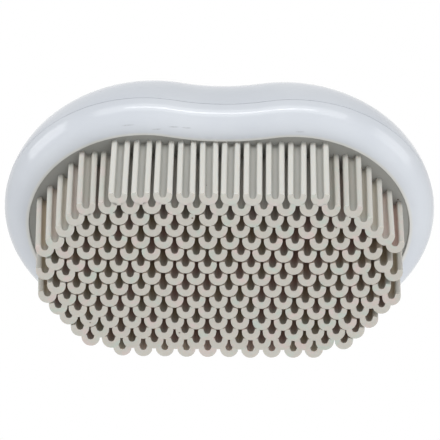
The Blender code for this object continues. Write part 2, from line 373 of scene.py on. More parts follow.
@dataclass(frozen=True)
class Levels:
    """Heights of the pieces above the surface that the bristle tips stand on.

    Attributes:
        mat_face: The mat's face, which the bristles grow from.
    """

    mat_face: float = 0.0240
    mat_recess: float = 0.0009
    mat_thickness: float = 0.0020
    plate_thickness: float = 0.0020
    bezel_depth: float = 0.0082
    flange_thickness: float = 0.0028
    fit_gap: float = 0.0003

    @property
    def mat_back(self) -> float:
        """The mat's back."""
        return self.mat_face + self.mat_thickness

    @property
    def lip(self) -> float:
        """The lowest point of the bezel."""
        return self.mat_face - self.mat_recess

    @property
    def parting(self) -> float:
        """The parting line, at the top of the bezel's outside."""
        return self.lip + self.bezel_depth

    @property
    def plate_middle(self) -> float:
        """The middle of the backing plate, where it snaps in."""
        return self.mat_back + self.fit_gap + self.plate_thickness / 2

    @property
    def flange(self) -> float:
        """The underside of the bezel's flange."""
        return self.mat_back + 2 * self.fit_gap + self.plate_thickness

    @property
    def flange_top(self) -> float:
        """The top of the bezel's flange."""
        return self.flange + self.flange_thickness


# Finishes


class NodeSheet:
    """The node tree of a material or world, with short ways to add and join nodes."""

    def __init__(self, owner: bpy.types.Material | bpy.types.World) -> None:
        """Turn on the nodes of a new material or world."""
        owner.use_nodes = True
        self.tree = owner.node_tree

    def add(self, kind: str, *values: object, **settings: object) -> bpy.types.Node:
        """Add a node, and set its properties and feed its sockets.

        Args:
            kind: The node's type.
            values: What the sockets get, in their order.
            settings: Properties by name, or sockets by name with spaces as underscores.

        Returns:
            The node.
        """
        node = self.tree.nodes.new(kind)
        for key, value in settings.items():
            if hasattr(node, key):
                setattr(node, key, value)
            else:
                self.feed(node.inputs[key.replace("_", " ")], value)
        for socket, value in zip(node.inputs, values):
            self.feed(socket, value)
        return node

    def feed(self, socket: Socket, value: object) -> None:
        """Link an output to a socket, or set the socket's value.

        Args:
            socket: The socket to feed.
            value: An output socket or a plain value.
        """
        if isinstance(value, Socket):
            self.tree.links.new(value, socket)
        else:
            socket.default_value = value

    def math(self, operation: str, *values: object) -> Socket:
        """Combine values by a Math node."""
        return self.add("ShaderNodeMath", *values, operation=operation).outputs["Value"]

    def blend(self, factor: Socket, first: Socket, second: Socket, output: str) -> None:
        """Mix two shaders, and feed them to the surface of the named output node."""
        mixed = self.add("ShaderNodeMixShader", factor, first, second).outputs[0]
        self.feed(self.tree.nodes[output].inputs["Surface"], mixed)


class FinishSheet(NodeSheet):
    """The nodes of one finish, round its Principled shader."""

    def __init__(self, name: str) -> None:
        """Start a material.

        Args:
            name: The material's name.
        """
        self.material = bpy.data.materials.new(name)
        super().__init__(self.material)
        self.shader = self.tree.nodes["Principled BSDF"]
        self.place = self.add("ShaderNodeTexCoord").outputs["Object"]

    def painted(self, kind: Paint) -> Socket:
        """Return a value that the vertices carry."""
        return self.add("ShaderNodeAttribute", attribute_name=kind.value).outputs["Fac"]

    def mapped(self, scale: Point, turn_deg: float, **settings: object) -> Socket:
        """Return the object's coordinates, scaled and turned about Z.

        Args:
            scale: The factor along each axis.
            turn_deg: The angle in degrees.
            settings: The Mapping node's other properties and sockets.

        Returns:
            The coordinates.
        """
        turn = (0, 0, math.radians(turn_deg))
        return self.add(
            "ShaderNodeMapping", self.place, Rotation=turn, Scale=scale, **settings
        ).outputs["Vector"]

    def noise(
        self, scale: float, detail: float = TWO_OCTAVES, place: Socket | None = None
    ) -> Socket:
        """Return a noise value from 0 to 1.

        Args:
            scale: Features to the metre.
            detail: The noise's octaves.
            place: The coordinates, or None for the object's own.

        Returns:
            The noise's value.
        """
        place = self.place if place is None else place
        node = self.add("ShaderNodeTexNoise", place, Scale=scale, Detail=detail)
        return node.outputs["Fac"]

    def ramp(self, value: Socket, span: Flat, result: Flat = WHOLE_RANGE) -> Socket:
        """Map a value from one range to another, smoothly and clamped.

        Args:
            value: The value.
            span: The range that it comes from, as (start, end).
            result: What stands for the span's start and end.

        Returns:
            The mapped value.
        """
        given = (value, *span, *result)
        node = self.add("ShaderNodeMapRange", *given, interpolation_type="SMOOTHSTEP")
        return node.outputs["Result"]

    def mix(
        self, factor: Socket, first: object, second: object, kind: str = "MIX"
    ) -> Socket:
        """Mix two colours.

        Args:
            factor: How much of the second.
            first: The first colour, or an output.
            second: The second colour, or an output.
            kind: The blend type.

        Returns:
            The mixed colour.
        """
        node = self.add("ShaderNodeMix", factor, data_type="RGBA", blend_type=kind)
        self.feed(node.inputs[6], first)
        self.feed(node.inputs[7], second)
        return node.outputs[2]

    def bump(
        self, height: Socket, distance: float, after: Socket | None = None
    ) -> Socket:
        """Turn a height into a normal.

        Args:
            height: The height, from 0 to 1.
            distance: What 1 stands for, in metres.
            after: A normal that this one adds to.

        Returns:
            The normal.
        """
        bump = self.add("ShaderNodeBump", Strength=1.0, Distance=distance)
        self.feed(bump.inputs["Height"], height)
        if after is not None:
            self.feed(bump.inputs["Normal"], after)
        return bump.outputs["Normal"]

    def set(self, **sockets: object) -> None:
        """Feed the shader's sockets, given by name with spaces as underscores."""
        for key, value in sockets.items():
            self.feed(self.shader.inputs[key.replace("_", " ")], value)


@dataclass(frozen=True)
class ScuffMark:
    """A small rubbed place on a shell.

    Attributes:
        place: Its middle.
        length: Its half length.
        turn_deg: How it is turned about Z.
        width: Its half width.
        height: Its half height.
    """

    place: Point
    length: float
    turn_deg: float
    width: float = 0.0003
    height: float = 0.0006


BEZEL_SCUFFS = (
    ScuffMark((-0.0275, -0.0406, 0.0238), 0.0026, -7.0),
    ScuffMark((-0.0188, -0.0396, 0.0233), 0.0020, -4.0),
    ScuffMark((-0.0137, -0.0402, 0.0238), 0.0024, 3.0),
    ScuffMark((-0.0099, -0.0398, 0.0239), 0.0020, 5.0),
    ScuffMark((0.0236, -0.0394, 0.0232), 0.0018, 0.0),
)


@dataclass(frozen=True)
class GlossShellFinish:
    """Glossy white moulded plastic, cool, faintly clouded and finely scratched.

    Attributes:
        hairlines: Turn in degrees and stretch of each set of hairlines.
    """

    name: str = "gloss_white_plastic"
    colour: Colour = (0.642, 0.674, 0.720, 1)
    clouded: Colour = (0.604, 0.637, 0.688, 1)
    cloud_scale: float = 38.0
    cloud_span: Flat = (0.35, 0.7)
    # The lip's painted highlight, a pale cream line.
    lip_highlight_colour: Colour = (0.67, 0.675, 0.655, 1)
    lip_highlight_span: Flat = (0.1, 0.8)
    ior: float = 1.5
    roughness: Flat = (0.09, 0.14)
    ripple_scale: float = 120.0
    ripple_detail: float = 1.5
    ripple_height: float = 0.00002
    scratched: Colour = (0.34, 0.355, 0.385, 1)
    scratch_depth: float = 0.00001
    scratch_roughness: float = 0.4
    hairlines: tuple[Flat, ...] = ((24.0, 60.0), (-48.0, 45.0))
    hairline_scale: Flat = (2600.0, 900.0)
    hairline_width: float = 0.006
    hairline_strength: float = 0.18
    patch_scale: float = 26.0
    patch_span: Flat = (0.60, 0.72)
    scuffs: tuple[ScuffMark, ...] = ()
    scuff_span: Flat = (0.2, 1.0)
    stroke_scale: Point = (1500.0, 5000.0, 5000.0)
    stroke_span: Flat = (0.36, 0.58)
    stroke_range: Flat = (0.25, 0.75)

    def make(self) -> bpy.types.Material:
        """Set up the shell's plastic.

        Returns:
            The material.
        """
        sheet = FinishSheet(self.name)
        cloud = sheet.noise(self.cloud_scale, THREE_OCTAVES)
        cloud = sheet.ramp(cloud, self.cloud_span)
        colour = sheet.mix(cloud, self.colour, self.clouded)
        marks = [self._hairlines(sheet, *hairlines) for hairlines in self.hairlines]
        marks += [self._scuff(sheet, scuff) for scuff in self.scuffs]
        rubbed = marks[0]
        for mark in marks[1:]:
            rubbed = sheet.math("MAXIMUM", rubbed, mark)
        colour = sheet.mix(rubbed, colour, self.scratched)
        # Painted highlight: a pale cream line of light along the bezel's lip.
        edge = sheet.ramp(sheet.painted(Paint.EDGE), self.lip_highlight_span)
        ripple = sheet.noise(self.ripple_scale, self.ripple_detail)
        normal = sheet.bump(ripple, self.ripple_height)
        unrubbed = sheet.math("SUBTRACT", 1.0, rubbed)
        rough = sheet.ramp(cloud, WHOLE_RANGE, self.roughness)
        dull = sheet.math("MULTIPLY", rubbed, self.scratch_roughness)
        sheet.set(
            Base_Color=sheet.mix(edge, colour, self.lip_highlight_colour),
            Roughness=sheet.math("ADD", rough, dull),
            Normal=sheet.bump(unrubbed, self.scratch_depth, normal),
            IOR=self.ior,
        )
        return sheet.material

    def _hairlines(self, sheet: FinishSheet, turn_deg: float, stretch: float) -> Socket:
        """Return the strength of fine hairlines that show in patches.

        Args:
            sheet: The material's nodes.
            turn_deg: How they are turned about Z.
            stretch: How fast they change along their length.

        Returns:
            The strength, from 0 to 1.
        """
        place = sheet.mapped((stretch, *self.hairline_scale), turn_deg)
        lines = sheet.noise(1.0, ONE_OCTAVE, place)
        away = sheet.math("SUBTRACT", lines, NOISE_MIDDLE)
        width = (0.0, self.hairline_width)
        lines = sheet.ramp(sheet.math("ABSOLUTE", away), width, FALLING_RANGE)
        patch = sheet.noise(self.patch_scale + stretch, ONE_OCTAVE)
        marks = sheet.math("MULTIPLY", lines, sheet.ramp(patch, self.patch_span))
        return sheet.math("MULTIPLY", marks, self.hairline_strength)

    def _scuff(self, sheet: FinishSheet, scuff: ScuffMark) -> Socket:
        """Return a scuff's strength: thin dark strokes inside a small ellipsoid.

        Args:
            sheet: The material's nodes.
            scuff: The rubbed place.

        Returns:
            The strength, from 0 to 1.
        """
        reach = (scuff.length, scuff.width, scuff.height)
        local = sheet.mapped(
            reach, scuff.turn_deg, Location=scuff.place, vector_type="TEXTURE"
        )
        away = sheet.add("ShaderNodeVectorMath", local, operation="LENGTH")
        inside = sheet.ramp(away.outputs["Value"], self.scuff_span, FALLING_RANGE)
        place = sheet.mapped(self.stroke_scale, scuff.turn_deg)
        strokes = sheet.noise(1.0, TWO_OCTAVES, place)
        strength = sheet.ramp(strokes, self.stroke_span, self.stroke_range)
        return sheet.math("MULTIPLY", inside, strength)


@dataclass(frozen=True)
class RubberFinish:
    """Warm grey soft rubber: matt, faintly mottled, with a few dark specks of dust.

    Attributes:
        deep_span: The heights between which the deep colours, a warm painted shade,
            come up.
        olive_span: The tones between which a bristle's deep colour, a painted shade,
            turns to olive.
        mat_span: The tones between which the mat's darker colour, painted shade of its
            recess, starts.
        speck_above: The share of the cells that hold no speck.
    """

    name: str = "soft_grey_rubber"
    colour: Colour = (0.519, 0.500, 0.452, 1)
    cooler: Colour = (0.475, 0.517, 0.464, 1)
    warmer: Colour = (0.568, 0.492, 0.461, 1)
    darker: Colour = (0.40, 0.385, 0.352, 1)
    # Painted light: the paler colour of exposed bristles.
    pale: Colour = (0.665, 0.66, 0.62, 1)
    # Painted shade: the warm deep colours of the hollows between and inside the
    # bristles.
    deep: Colour = (0.63, 0.455, 0.40, 1)
    deep_olive: Colour = (0.59, 0.50, 0.37, 1)
    # Painted shade: the grey that darkens the channels.
    channel: Colour = (0.64, 0.64, 0.635, 1)
    # Painted shade: the mat's darker colour in its recess.
    shaded_mat_colour: Colour = (0.308, 0.308, 0.290, 1)
    speck: Colour = (0.10, 0.07, 0.055, 1)
    mottle_scale: float = 210.0
    cool_span: Flat = (0.45, 0.3)
    warm_span: Flat = (0.55, 0.7)
    darker_range: Flat = (0.0, 0.10)
    deep_span: Flat = (0.0004, 0.0045)
    deep_range: Flat = (0.25, 1.0)
    olive_span: Flat = (0.3, 0.7)
    mat_span: Flat = (1.2, 1.8)
    speck_scale: float = 260.0
    speck_above: float = 0.94
    speck_radius: Flat = (0.05, 0.10)
    grain_scale: float = 2600.0
    grain_height: float = 0.00002
    blotch_scale: float = 420.0
    blotch_span: Flat = (0.3, 0.7)
    roughness: Flat = (0.53, 0.65)
    ior: float = 1.45
    glow: float = 0.22
    glow_radius: Point = (1.0, 0.78, 0.62)
    glow_reach: float = 0.0014

    def make(self) -> bpy.types.Material:
        """Set up the pad's rubber.

        Returns:
            The material.
        """
        sheet = FinishSheet(self.name)
        mottle = sheet.noise(self.mottle_scale)
        tone = sheet.painted(Paint.TONE)
        height = sheet.add("ShaderNodeSeparateXYZ", sheet.place).outputs["Z"]
        # Painted shade: the deep colour grows with the height above the tips.
        depth = sheet.ramp(height, self.deep_span, self.deep_range)
        depth = sheet.math("MULTIPLY", depth, sheet.painted(Paint.SHADE))
        olive = sheet.ramp(tone, self.olive_span)
        layers = (
            (sheet.ramp(mottle, self.cool_span), self.cooler, "MIX"),
            (sheet.ramp(mottle, self.warm_span), self.warmer, "MIX"),
            (sheet.ramp(tone, WHOLE_RANGE, self.darker_range), self.darker, "MIX"),
            # Painted light: bristles of the first rows and the rows' ends turn paler.
            (sheet.painted(Paint.PAINTED_LIGHT), self.pale, "MIX"),
            # Painted shade: the warm deep colour in the hollows and between the
            # bristles.
            (depth, sheet.mix(olive, self.deep, self.deep_olive), "MIX"),
            # Painted shade: the channels greyer than the arms.
            (sheet.painted(Paint.CHANNEL_SHADE), self.channel, "MULTIPLY"),
            # Painted shade: the mat darker in its recess between the lip and the
            # bristles.
            (sheet.ramp(tone, self.mat_span), self.shaded_mat_colour, "MIX"),
            (self._specks(sheet), self.speck, "MIX"),
        )
        colour: object = self.colour
        for share, layer, kind in layers:
            colour = sheet.mix(share, colour, layer, kind)
        blotch = sheet.noise(self.blotch_scale)
        sheet.set(
            Base_Color=colour,
            Roughness=sheet.ramp(blotch, self.blotch_span, self.roughness),
            Normal=sheet.bump(sheet.noise(self.grain_scale), self.grain_height),
            IOR=self.ior,
            Subsurface_Weight=self.glow,
            Subsurface_Radius=self.glow_radius,
            Subsurface_Scale=self.glow_reach,
        )
        return sheet.material

    def _specks(self, sheet: FinishSheet) -> Socket:
        """Return where the specks of dust lie.

        Args:
            sheet: The material's nodes.

        Returns:
            1 on a speck and 0 beside it.
        """
        cells = sheet.add("ShaderNodeTexVoronoi", sheet.place, Scale=self.speck_scale)
        own = sheet.add("ShaderNodeSeparateColor", cells.outputs["Color"]).outputs[0]
        rare = sheet.math("GREATER_THAN", own, self.speck_above)
        dot = sheet.ramp(cells.outputs["Distance"], self.speck_radius, FALLING_RANGE)
        return sheet.math("MULTIPLY", rare, dot)


@dataclass(frozen=True)
class PlateFinish:
    """Grey carrier plastic with the fine grain of an eroded mould."""

    name: str = "grey_plate_plastic"
    colour: Colour = (0.30, 0.31, 0.32, 1)
    paler: Colour = (0.35, 0.36, 0.37, 1)
    cloud_scale: float = 60.0
    grain_scale: float = 1800.0
    grain_span: Flat = (0.3, 0.7)
    grain_height: float = 0.00003
    roughness: Flat = (0.45, 0.60)

    def make(self) -> bpy.types.Material:
        """Set up the plate's plastic.

        Returns:
            The material.
        """
        sheet = FinishSheet(self.name)
        cloud = sheet.noise(self.cloud_scale, THREE_OCTAVES)
        grain = sheet.noise(self.grain_scale)
        sheet.set(
            Base_Color=sheet.mix(cloud, self.colour, self.paler),
            Roughness=sheet.ramp(grain, self.grain_span, self.roughness),
            Normal=sheet.bump(grain, self.grain_height),
        )
        return sheet.material


@dataclass(frozen=True)
class ScrewFinish:
    """Zinc-plated steel, a little blotched."""

    name: str = "zinc_steel"
    colour: Colour = (0.55, 0.55, 0.56, 1)
    dull: Colour = (0.46, 0.45, 0.44, 1)
    blotch_scale: float = 700.0
    blotch_span: Flat = (0.35, 0.7)
    roughness: Flat = (0.28, 0.42)

    def make(self) -> bpy.types.Material:
        """Set up the screws' steel.

        Returns:
            The material.
        """
        sheet = FinishSheet(self.name)
        blotch = sheet.noise(self.blotch_scale, THREE_OCTAVES)
        blotch = sheet.ramp(blotch, self.blotch_span)
        sheet.set(
            Base_Color=sheet.mix(blotch, self.colour, self.dull),
            Roughness=sheet.ramp(blotch, WHOLE_RANGE, self.roughness),
            Metallic=1.0,
        )
        return sheet.material


# Pieces


@dataclass
class BezelShell:
    """Lower shell: a bullnose ring round the bristles, with its tongue and flange.

    Attributes:
        lip_fade: How far from the opening's edge the lip's painted highlight, a pale
            line, fades out.
        lip_limit: How high it may reach, in radii of the lip.
    """

    outline: BeanOutline
    levels: Levels
    width: float = 0.0078
    lip_radius: float = 0.0003
    edge_break: float = 0.00008
    rim_wall: float = 0.0018
    tongue_height: float = 0.0018
    tongue_thickness: float = 0.0012
    pocket_floor: float = 0.0034
    pocket_share: float = 0.45
    flange_reach: float = 0.0090
    snap_depth: float = 0.0006
    lip_fade: float = 0.0016
    lip_limit: float = 1.01
    lip_steps: int = 5
    nose_steps: int = 22
    sharp_deg: float = 32.0

    def section(self) -> list[Flat]:
        """Draw the ring's section, from the lip round the outside to the snap groove.

        Returns:
            Its points as (offset from the opening, height) pairs.
        """
        levels, gap, lip = self.levels, self.levels.fit_gap, self.lip_radius
        parting = levels.parting
        points = []
        for step in range(self.lip_steps + 1):
            angle = QUARTER_TURN * step / self.lip_steps
            inward, down = 1 - math.cos(angle), 1 - math.sin(angle)
            points.append((lip * inward, levels.lip + lip * down))
        for step in range(1, self.nose_steps + 1):
            angle = QUARTER_TURN * step / self.nose_steps
            depth = max(levels.bezel_depth * math.cos(angle), self.edge_break)
            points.append((lip + (self.width - lip) * math.sin(angle), parting - depth))
        tongue_outer = self.width - self.rim_wall - gap
        tongue_inner = tongue_outer - self.tongue_thickness
        tongue_top = parting + self.tongue_height
        pocket_inner = tongue_inner * (1 - self.pocket_share)
        floor = levels.lip + self.pocket_floor
        groove = self.snap_depth + gap
        snap = levels.plate_middle
        return points + [
            (self.width - self.edge_break, parting),
            (tongue_outer, parting),
            (tongue_outer, tongue_top),
            (tongue_inner, tongue_top),
            (tongue_inner, floor),
            (pocket_inner, floor),
            (pocket_inner, levels.flange_top),
            (-self.flange_reach, levels.flange_top),
            (-self.flange_reach, levels.flange),
            (0, levels.flange),
            (0, snap + groove),
            (self.snap_depth, snap),
            (0, snap - groove),
        ]

    def build(self, finish: GlossShellFinish) -> Piece:
        """Sweep the closed section round the outline.

        Args:
            finish: The shell's finish.

        Returns:
            The dressed piece.
        """
        section = self.section()
        shell = self.outline.sweep("bezel_shell", section + section[:1])
        Bench.close_seams(shell)
        Bench.smooth(shell, self.sharp_deg)
        # Paint the lip's highlight: 1 at the opening's edge near the lip, fading out
        # within lip_fade.
        edge = [Vector(point) for point in self.outline.points(0)]
        limit = self.levels.lip + self.lip_radius * self.lip_limit
        near = []
        for vert in shell.data.vertices:
            away = self.lip_fade
            if vert.co.z < limit:
                away = min((vert.co.xy - point).length for point in edge)
            near.append(max(0.0, 1.0 - away / self.lip_fade))
        Bench.paint(shell, Paint.EDGE, near)
        Bench.dress(shell, finish.make())
        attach(shell, BODY)
        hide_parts("bezel")
        return shell


@dataclass
class CoverShell:
    """Upper shell: a superelliptic palm dome with a thin rim that fits over the tongue.

    Attributes:
        break_share: Where the broken edge's middle point lies, in parts of its size.
    """

    outline: BeanOutline
    levels: Levels
    width: float = 0.0078
    rise: float = 0.0270
    wall: float = 0.0024
    rim_wall: float = 0.0018
    rim_height: float = 0.0021
    seam_gap: float = 0.00009
    edge_break: float = 0.00008
    break_share: float = 0.3
    power: float = 2.6
    base_share: float = 0.998
    outer_steps: int = 30
    inner_steps: int = 12
    sharp_deg: float = 32.0

    @property
    def foot(self) -> float:
        """Where the cover's rim ends, just above the parting line."""
        return self.levels.parting + self.seam_gap

    @property
    def base(self) -> float:
        """The height share on the full superellipse where the wall starts."""
        return (1 - self.base_share**self.power) ** (1 / self.power)

    def width_share(self, height_share: float) -> float:
        """Return how wide the dome is at a share of its rise, against its foot."""
        height = self.base + height_share * (1 - self.base)
        return max(0.0, 1 - height**self.power) ** (1 / self.power) / self.base_share

    def height_shares(self, first: float, steps: int) -> list[float]:
        """Return height shares that lie evenly along the dome's curve.

        Args:
            first: The share to start after.
            steps: How many, with the top as the last one.

        Returns:
            The shares.
        """
        start = math.asin((self.base + first * (1 - self.base)) ** (self.power / 2))
        shares = []
        for step in range(1, steps + 1):
            angle = start + (QUARTER_TURN - start) * step / steps
            height = math.sin(angle) ** (2 / self.power)
            shares.append((height - self.base) / (1 - self.base))
        return shares

    def build(self, finish: GlossShellFinish) -> Piece:
        """Sweep the rim's section, then raise the outer and inner domes from it.

        Args:
            finish: The shell's finish.

        Returns:
            The dressed piece.
        """
        edge, foot = self.edge_break, self.foot
        middle = self.break_share * edge
        rim_inner, rim_top = self.width - self.rim_wall, foot + self.rim_height
        dome_inner = self.width - self.wall
        section = [
            (self.width, foot + edge),
            (self.width - middle, foot + middle),
            (self.width - edge, foot),
            (rim_inner, foot),
            (rim_inner, rim_top),
            (dome_inner, rim_top),
        ]
        shell = self.outline.sweep("cover_shell", section)
        self._dome(shell, self.width, edge, self.rise, self.outer_steps)
        inner_rise = self.rise - self.wall
        self._dome(shell, dome_inner, self.rim_height, inner_rise, self.inner_steps)
        Bench.close_seams(shell)
        Bench.smooth(shell, self.sharp_deg)
        Bench.dress(shell, finish.make())
        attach(shell, BODY)
        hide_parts("top_cover")
        return shell

    def _dome(
        self, shell: Piece, offset: float, height: float, rise: float, steps: int
    ) -> None:
        """Select a loop of the rim, and extrude it up to the dome's top.

        Args:
            shell: The cover's object.
            offset: How far outside the opening the loop lies.
            height: How high it lies above the foot.
            rise: The dome's height above the foot.
            steps: How many loops to add, with the top as the last one.
        """
        loop = [Vector(point) for point in self.outline.points(offset)]

        def on_loop(place: Vector) -> bool:
            """Say whether a vertex lies on the loop."""
            return abs(place.z - self.foot - height) < LOOP_REACH and any(
                (place.xy - point).length < LOOP_REACH for point in loop
            )

        share = height / rise
        width = self.width_share(share)
        with Bench.editing(shell, "EDGE"):
            count = Bench.select_edges(shell, on_loop)
            log.info("dome from a loop of %d edges", count)
            for upper in self.height_shares(share, steps):
                bpy.ops.mesh.extrude_edges_move(
                    TRANSFORM_OT_translate={"value": (0, 0, rise * (upper - share))}
                )
                share, lower_width = upper, width
                width = self.width_share(share)
                ratio = width / lower_width if share < 1 else 0.0
                bpy.ops.transform.resize(
                    value=(ratio, ratio, 1), center_override=(0, 0, self.foot)
                )


@dataclass(frozen=True)
class RowPose:
    """How the tips of one row stand, in millimetres.

    Attributes:
        lean: How far along Y they lean from below their roots, at the row's middle.
        rise: How far above the others they end.
        left: What the left end's bristle adds to that, along X, Y and Z.
        right: The same of the right end's bristle.
    """

    lean: float
    rise: float
    left: Point
    right: Point


ROW_POSES = (
    RowPose(0.1, 0.0, (-0.08, 0.45, 0.0), (0.08, -0.1, 0.17)),
    RowPose(-0.55, 0.0, (0.23, 0.72, 0.0), (-0.08, 0.3, 0.0)),
    RowPose(-0.75, 0.0, (0.12, 0.72, 0.0), (0.12, 0.38, 0.0)),
    RowPose(-0.95, 0.0, (0.15, 0.85, 0.0), (0.3, -0.19, 0.33)),
    RowPose(-1.0, 0.0, (0.39, 0.95, 0.0), (0.52, -0.76, 1.33)),
    RowPose(-0.75, 0.0, (0.39, -0.24, 0.42), (0.55, -1.49, 2.6)),
    RowPose(-0.45, 0.0, (0.3, -0.05, 0.08), (0.39, -0.37, 0.64)),
    RowPose(-0.35, 0.0, (0.39, -0.4, 0.7), (0.39, -0.91, 1.59)),
    RowPose(-0.25, 0.0, (0.45, 0.1, 0.0), (0.15, -0.4, 0.7)),
    RowPose(-0.15, 0.0, (0.61, -0.41, 0.71), (0.15, -0.68, 1.19)),
    RowPose(-0.35, 0.0, (0.74, -0.24, 0.42), (0.39, -1.07, 1.87)),
    RowPose(-0.55, 0.0, (0.44, -0.48, 0.84), (-0.17, -0.48, 0.84)),
    RowPose(-0.55, 0.4, (0.61, -0.21, 0.36), (-0.85, -0.46, 0.81)),
    RowPose(-0.55, 1.05, (0.61, -0.27, 0.47), (-1.06, -0.21, 0.36)),
    RowPose(-0.6, 2.45, (0.27, -0.03, 0.06), (-0.33, -0.08, 0.14)),
)


@dataclass(frozen=True)
class Parting:
    """A place where the tips on both sides stand a little apart.

    Attributes:
        place: Its x.
        row: The row at its middle.
        rows: How many rows it spreads over, to each side.
        shift: How far the tips next to it stand aside.
        reach: How far along the rows that fades.
    """

    place: float
    row: float
    rows: float
    shift: float
    reach: float = 0.012


@dataclass(frozen=True)
class BristleTones:
    """How much painted shade and painted light a bristle takes against the plain
    rubber.

    Attributes:
        wall: How much of the deep colour, a painted shade, its outer walls take away
            from the tip.
        hollow: The same in its channel.
        pale: How much painted light it takes, as a paler colour.
        grey: How grey its channel is, as painted shade.
    """

    wall: float
    hollow: float
    pale: float
    grey: float = 1.0


@dataclass
class BristlePad:
    """Soft pad: the mat and its staggered rows of U-channel bristles, in one moulding.

    Attributes:
        room_depth: The depth that a bristle needs inside the opening's edge.
        room_corners: The corners of its round back, for that test.
        row_tones: Painted shade and painted light of the first rows. The last holds for
            all further rows.
        end_tones: The same of the bristles at the rows' ends.
        last_tones: Painted shade and painted light of the last row.
        crowd: How many bristles have to stand behind an outer wall with painted shade.
        end_lean_power: How quickly the sideways lean grows toward the field's ends.
        end_drop_power: The same of the lean toward the waist side.
    """

    outline: BeanOutline
    levels: Levels
    width: float = 0.00560
    front_width: float = 0.00536
    depth: float = 0.00452
    widest_at: float = 0.0009
    back_power: float = 2.02
    gap: float = 0.00094
    row_gap: float = 0.00002
    setback: float = 0.0005
    mouth_width: float = 0.00247
    channel_width: float = 0.00185
    channel_depth: float = 0.00185
    channel_round: float = 0.0008
    channel_slack: float = 0.00001
    root_channel_share: float = 0.72
    room_depth: float = 0.0041
    room_corners: int = 4
    margin: float = 0.0004
    outer_round: float = 0.00035
    inner_round: float = 0.00014
    mouth_reach: float = 0.00025
    tip_round: float = 0.00007
    tip_round_steps: int = 1
    least_edge: float = 0.00019
    root_depth: float = 0.0006
    sharp_deg: float = 60.0
    mat_gap: float = 0.00004
    mat_round: float = 0.0001
    mat_round_steps: int = 2
    mat_sharp_deg: float = 40.0
    mat_tone: float = 2.0
    jitter: float = 0.00008
    jitter_deg: float = 0.8
    back_steps: int = 9
    channel_steps: int = 4
    seed: int = 11
    row_poses: tuple[RowPose, ...] = ROW_POSES
    partings: tuple[Parting, ...] = (
        Parting(0.0229, 5.5, 3.5, 0.00036), Parting(-0.0196, 4.5, 3.0, 0.00025)
    )
    row_tones: tuple[BristleTones, ...] = (
        BristleTones(0.0, 0.0, 1.0),
        BristleTones(0.0, 0.1, 0.4),
        BristleTones(0.5, 0.5, 0.15),
        BristleTones(1.0, 1.0, 0.0),
    )
    end_tones: tuple[BristleTones, ...] = (
        BristleTones(0.0, 0.0, 1.0),
        BristleTones(0.0, 0.15, 0.55),
        BristleTones(0.0, 0.35, 0.65, 0.6),
        BristleTones(0.0, 0.4, 0.65, 0.5),
        BristleTones(0.0, 0.5, 0.6, 0.5),
        BristleTones(0.0, 1.0, 0.35, 1.0),
    )
    last_tones: BristleTones = BristleTones(0.0, 0.55, 0.65, 0.0)
    crowd: int = 2
    tip_painted_light: float = 0.3
    end_pull: float = 0.3
    end_lean: float = 0.0009
    end_lean_power: int = 5
    end_drop: float = 0.0005
    end_drop_power: int = 4
    side_lean: float = -0.00012
    far_lean: float = 0.00005
    far_row: float = 7.5

    @property
    def pitch(self) -> float:
        """From one bristle to the next in a row."""
        return self.width + self.gap

    @property
    def row_pitch(self) -> float:
        """From one row to the next."""
        return self.depth + self.row_gap

    def section(self) -> list[Flat]:
        """Draw the U section of a bristle, with the middle of its open front at (0, 0).

        Returns:
            Its points, none of them too close to the next for the tip's rounding.
        """
        half, front = self.width / 2, self.front_width / 2
        mouth, channel = self.mouth_width / 2, self.channel_width / 2
        back = self.depth - self.widest_at
        points = []
        for step in range(self.back_steps + 1):
            angle = math.pi * step / self.back_steps
            across, along = math.cos(angle), math.sin(angle)
            wide = math.copysign(abs(across) ** (2 / self.back_power), across)
            deep = max(0.0, along) ** (2 / self.back_power)
            points.append((half * wide, self.widest_at + back * deep))
        outer, inner = self.outer_round, self.inner_round
        lip = inner - self.mouth_reach
        floor = self.channel_depth - self.channel_round
        points += self._corner(-front + outer, outer, outer, math.pi)
        points += self._corner(-mouth - inner, lip, inner, 3 * QUARTER_TURN)
        for step in range(self.channel_steps + 1):
            angle = math.pi * (1 - step / self.channel_steps)
            deep = floor + self.channel_round * math.sin(angle)
            points.append((channel * math.cos(angle), deep))
        points += self._corner(mouth + inner, lip, inner, math.pi)
        points += self._corner(front - outer, outer, outer, 3 * QUARTER_TURN)
        kept = points[:1]
        for point in points[1:]:
            if (Vector(point) - Vector(kept[-1])).length > self.least_edge:
                kept.append(point)
        return kept

    @staticmethod
    def _corner(x: float, y: float, radius: float, start: float) -> list[Flat]:
        """Return the two ends and the middle of a quarter circle.

        Args:
            x: The centre's x.
            y: The centre's y.
            radius: The circle's radius.
            start: The angle of its first point.

        Returns:
            Three points.
        """
        return [
            (x + radius * math.cos(angle), y + radius * math.sin(angle))
            for angle in (start, start + QUARTER_TURN / 2, start + QUARTER_TURN)
        ]

    def places(self) -> list[tuple[int, float, float]]:
        """Find where the bristles stand, in staggered rows inside the opening.

        Returns:
            The row, x and y of every bristle's open front.
        """
        room = self.outline.points(-self.margin)
        corners = self._corners()
        rows = int(2 * self.outline.corner_radius / self.row_pitch) + 1
        columns = int(self.outline.end_x / self.pitch) + 1
        found = []
        for row in range(rows):
            y = self.outline.near_y + self.setback + self.row_pitch * row
            shift = self.pitch / 2 if row % 2 == 0 else 0.0
            for column in range(-columns, columns + 1):
                x = column * self.pitch + shift
                if all(self._inside(x + dx, y + dy, room) for dx, dy in corners):
                    found.append((row, x, y))
        return found

